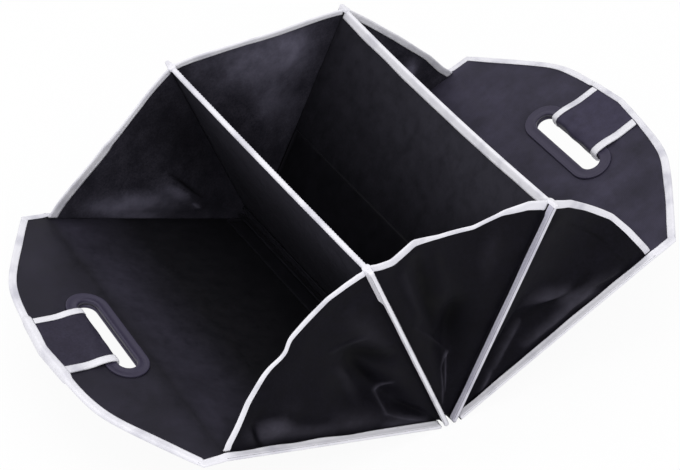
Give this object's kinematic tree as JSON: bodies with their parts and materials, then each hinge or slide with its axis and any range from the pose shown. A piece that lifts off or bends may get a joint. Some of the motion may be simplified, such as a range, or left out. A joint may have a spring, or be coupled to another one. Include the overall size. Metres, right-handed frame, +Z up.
{
  "type": "car trunk organizer",
  "caption": "Collapsible cloth trunk organizer set down half unfolded: stiff panels fan out from one base, with folded floors, white bound edges and hand slots with grip rings.",
  "frame": {"origin": "on the ground, under the middle of the object's box", "axes": "+X from the left end panel to the right one, -Y the front, +Z up"},
  "size_m": [0.682, 0.3824, 0.2439],
  "materials": {
    "black_cloth": "matte woven polyester, a little sheen",
    "white_tape": "satin woven binding tape",
    "grip_plastic": "fine moulded texture",
    "panel_board": "rough extruded sheet"
  },
  "bodies": {
    "root": {"left_end_board": "panel_board", "left_end_outer_skin": "black_cloth", "left_end_inner_skin": "black_cloth", "left_end_tape": "white_tape", "left_end_grip_inner_half": "grip_plastic", "left_end_grip_outer_half": "grip_plastic", "left_end_strap": "black_cloth", "left_end_strap_front_tape": "white_tape", "left_end_strap_back_tape": "white_tape", "divider_1_board": "panel_board", "divider_1_left_skin": "black_cloth", "divider_1_right_skin": "black_cloth", "divider_1_top_tape": "white_tape", "divider_1_front_tape": "white_tape", "divider_1_back_tape": "white_tape", "divider_2_board": "panel_board", "divider_2_left_skin": "black_cloth", "divider_2_right_skin": "black_cloth", "divider_2_top_tape": "white_tape", "divider_2_front_tape": "white_tape", "divider_2_back_tape": "white_tape", "right_end_board": "panel_board", "right_end_outer_skin": "black_cloth", "right_end_inner_skin": "black_cloth", "right_end_tape": "white_tape", "right_end_grip_inner_half": "grip_plastic", "right_end_grip_outer_half": "grip_plastic", "right_end_strap": "black_cloth", "right_end_strap_front_tape": "white_tape", "right_end_strap_back_tape": "white_tape", "front_wall_left": "black_cloth", "front_wall_middle": "black_cloth", "front_wall_right": "black_cloth", "back_wall_left": "black_cloth", "back_wall_middle": "black_cloth", "back_wall_right": "black_cloth", "front_wall_left_rim_tape": "white_tape", "front_wall_middle_rim_tape": "white_tape", "front_wall_right_rim_tape": "white_tape", "back_wall_left_rim_tape": "white_tape", "back_wall_middle_rim_tape": "white_tape", "back_wall_right_rim_tape": "white_tape", "floor_cloth": "black_cloth"}
  },
  "joints": []
}
